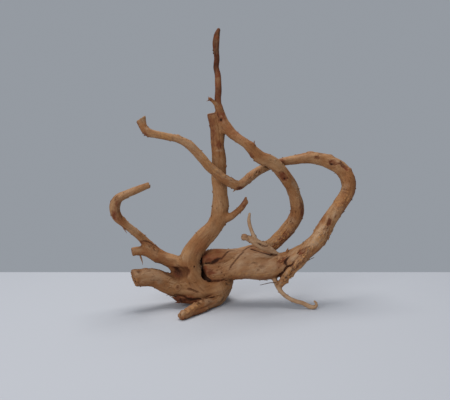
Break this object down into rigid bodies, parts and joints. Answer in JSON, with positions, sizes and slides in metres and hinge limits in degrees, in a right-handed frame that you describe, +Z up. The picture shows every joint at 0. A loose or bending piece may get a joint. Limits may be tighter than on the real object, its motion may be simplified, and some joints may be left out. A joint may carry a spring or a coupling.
{
  "type": "red moor wood root",
  "caption": "Branched piece of peeled, dried red moor root with looping roots, sawn stubs and torn twigs, for decorating an aquarium.",
  "frame": {"origin": "the worn flat spot under the stump, which rests on the ground", "axes": "+Z up along the tall trunk and its tip; +X to the right across the flat spread of the roots, as seen from the front; +Y from the front, where the long foot reaches out, to the back"},
  "size_m": [0.3077, 0.1301, 0.3468],
  "materials": {
    "wood": "peeled, dried and brushed root wood, dull to faintly waxy, with reddish torn patches"
  },
  "bodies": {
    "root": {"wood_root": "wood"}
  },
  "joints": []
}
